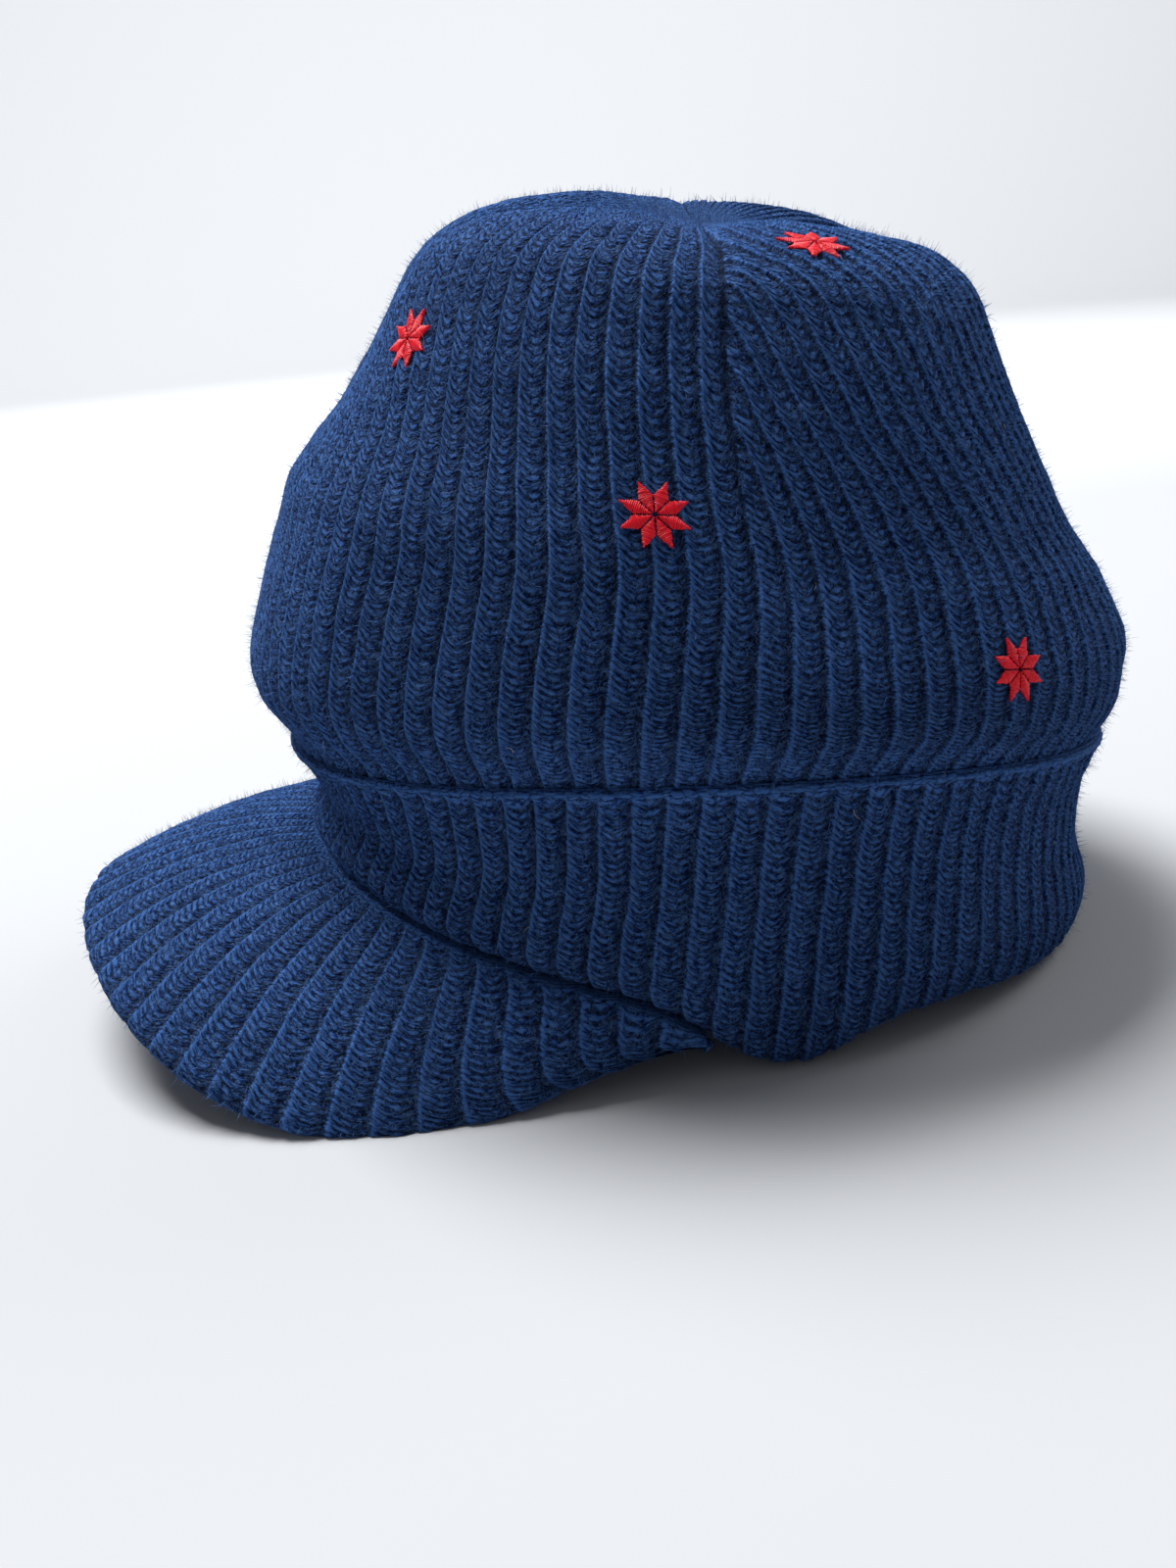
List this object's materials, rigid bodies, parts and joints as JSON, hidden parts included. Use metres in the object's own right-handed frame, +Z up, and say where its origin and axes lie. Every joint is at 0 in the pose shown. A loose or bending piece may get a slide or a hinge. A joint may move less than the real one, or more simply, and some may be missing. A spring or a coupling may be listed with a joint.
{
  "type": "ribbed knit visor beanie",
  "caption": "Ribbed knit wool beanie with a gathered domed crown, a turned-up cuff and an arched knitted peak over the brow, open below for the head.",
  "frame": {"origin": "middle of the hat's box, on the surface it rests on", "axes": "+Z up, -Y towards the peak at the wearer's front, +X towards the wearer's left"},
  "size_m": [0.1898, 0.2576, 0.1749],
  "materials": {
    "crown_knit": "soft ribbed wool knit, matte",
    "cuff_knit": "soft ribbed wool knit, matte",
    "peak_knit": "soft ribbed wool knit, matte"
  },
  "bodies": {
    "root": {"crown": "crown_knit", "cuff": "cuff_knit", "peak": "peak_knit"}
  },
  "joints": []
}
